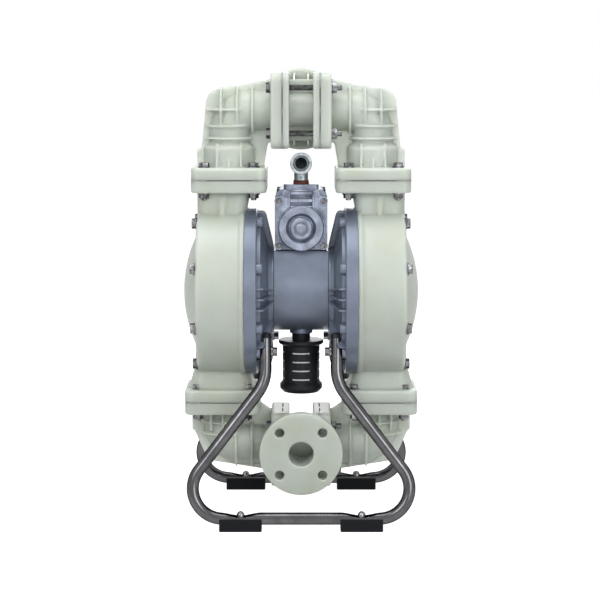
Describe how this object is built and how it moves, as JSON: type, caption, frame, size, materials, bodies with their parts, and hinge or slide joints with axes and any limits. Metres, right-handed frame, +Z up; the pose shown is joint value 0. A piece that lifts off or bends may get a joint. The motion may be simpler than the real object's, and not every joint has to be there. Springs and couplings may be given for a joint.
{
  "type": "air operated double diaphragm pump",
  "caption": "Compressed air driven double diaphragm pump with plastic liquid chambers, ball valves, flanged suction and discharge manifolds and a bent tube stand.",
  "frame": {"origin": "on the floor, under the middle of the pump", "axes": "+X along the centre rod towards the right liquid chamber seen from the front, -Y towards the suction flange and the reset button, +Z up"},
  "size_m": [0.472, 0.4028, 0.8955],
  "materials": {
    "white_plastic": "moulded, slightly translucent",
    "grey_paint": "satin paint on cast aluminium",
    "valve_alloy": "bead blasted die casting",
    "tube_steel": "polished stainless steel",
    "bolt_steel": "plain stainless steel",
    "rod_steel": "ground",
    "zinc_iron": "galvanised",
    "black_rubber": "matte",
    "seal_rubber": "matte",
    "black_plastic": "matte",
    "porous_plastic": "sintered",
    "bearing_bronze": "machined",
    "disc_alloy": "machined",
    "red_sealant": "matte"
  },
  "bodies": {
    "pump": {"air_valve_body": "valve_alloy", "air_valve_front_cover": "valve_alloy", "air_valve_gasket": "seal_rubber", "air_valve_rear_cover": "valve_alloy", "button_spring": "rod_steel", "centre_body": "grey_paint", "chamber_bolts": "bolt_steel", "chamber_gaskets": "seal_rubber", "cover_screws": "bolt_steel", "discharge_elbow_left": "white_plastic", "discharge_elbow_right": "white_plastic", "discharge_flange_bolts": "bolt_steel", "discharge_tee": "white_plastic", "discharge_tie_bolts": "bolt_steel", "discharge_valve_seats": "white_plastic", "foot_bolts": "bolt_steel", "front_stand_frame": "tube_steel", "hub_bolts": "bolt_steel", "inlet_elbow": "zinc_iron", "left_air_chamber": "grey_paint", "left_diaphragm": "black_rubber", "left_liquid_chamber": "white_plastic", "muffler_body": "black_plastic", "muffler_element": "porous_plastic", "rear_stand_frame": "tube_steel", "right_air_chamber": "grey_paint", "right_diaphragm": "black_rubber", "right_liquid_chamber": "white_plastic", "rod_bushings": "bearing_bronze", "rod_seals": "seal_rubber", "rubber_feet": "black_rubber", "seat_o_rings": "seal_rubber", "stand_mount_bolts": "bolt_steel", "suction_elbow_left": "white_plastic", "suction_elbow_right": "white_plastic", "suction_flange_bolts": "bolt_steel", "suction_tee": "white_plastic", "suction_tie_bolts": "bolt_steel", "suction_valve_seats": "white_plastic", "tee_o_rings": "seal_rubber", "thread_sealant": "red_sealant", "tube_end_plugs": "black_plastic", "valve_bolts": "bolt_steel", "valve_sleeve": "bearing_bronze"},
    "rod": {"centre_rod": "rod_steel", "left_inner_disc": "disc_alloy", "right_inner_disc": "disc_alloy", "left_outer_disc": "white_plastic", "right_outer_disc": "white_plastic"},
    "pilot": {"pilot_rod": "rod_steel"},
    "spool": {"valve_spool": "rod_steel", "spool_seals": "seal_rubber"},
    "button": {"reset_button": "valve_alloy"},
    "left_discharge_ball": {"left_discharge_ball": "black_rubber"},
    "left_suction_ball": {"left_suction_ball": "black_rubber"},
    "right_discharge_ball": {"right_discharge_ball": "black_rubber"},
    "right_suction_ball": {"right_suction_ball": "black_rubber"}
  },
  "joints": [
    {"name": "rod_slide", "type": "slide", "parent": "pump", "child": "rod", "axis": [1, 0, 0], "range_m": [-0.02, 0.02], "deforming": ["left_diaphragm", "right_diaphragm"]},
    {"name": "pilot_slide", "type": "slide", "parent": "pump", "child": "pilot", "axis": [1, 0, 0], "range_m": [-0.005, 0.005]},
    {"name": "spool_slide", "type": "slide", "parent": "pump", "child": "spool", "axis": [0, 1, 0], "range_m": [-0.008, 0.008]},
    {"name": "reset_button_press", "type": "slide", "parent": "pump", "child": "button", "axis": [0, 1, 0], "range_m": [0, 0.005], "stiffness_N_per_m": 400, "springref_m": -0.003, "deforming": ["button_spring"]},
    {"name": "left_suction_ball_lift", "type": "slide", "parent": "pump", "child": "left_suction_ball", "axis": [0, 0, 1], "range_m": [0, 0.012]},
    {"name": "left_discharge_ball_lift", "type": "slide", "parent": "pump", "child": "left_discharge_ball", "axis": [0, 0, 1], "range_m": [0, 0.012]},
    {"name": "right_suction_ball_lift", "type": "slide", "parent": "pump", "child": "right_suction_ball", "axis": [0, 0, 1], "range_m": [0, 0.012]},
    {"name": "right_discharge_ball_lift", "type": "slide", "parent": "pump", "child": "right_discharge_ball", "axis": [0, 0, 1], "range_m": [0, 0.012]}
  ],
  "couplings": [
    {"joint": "pilot_slide", "follows": "rod_slide", "ratio": 0.25}
  ]
}
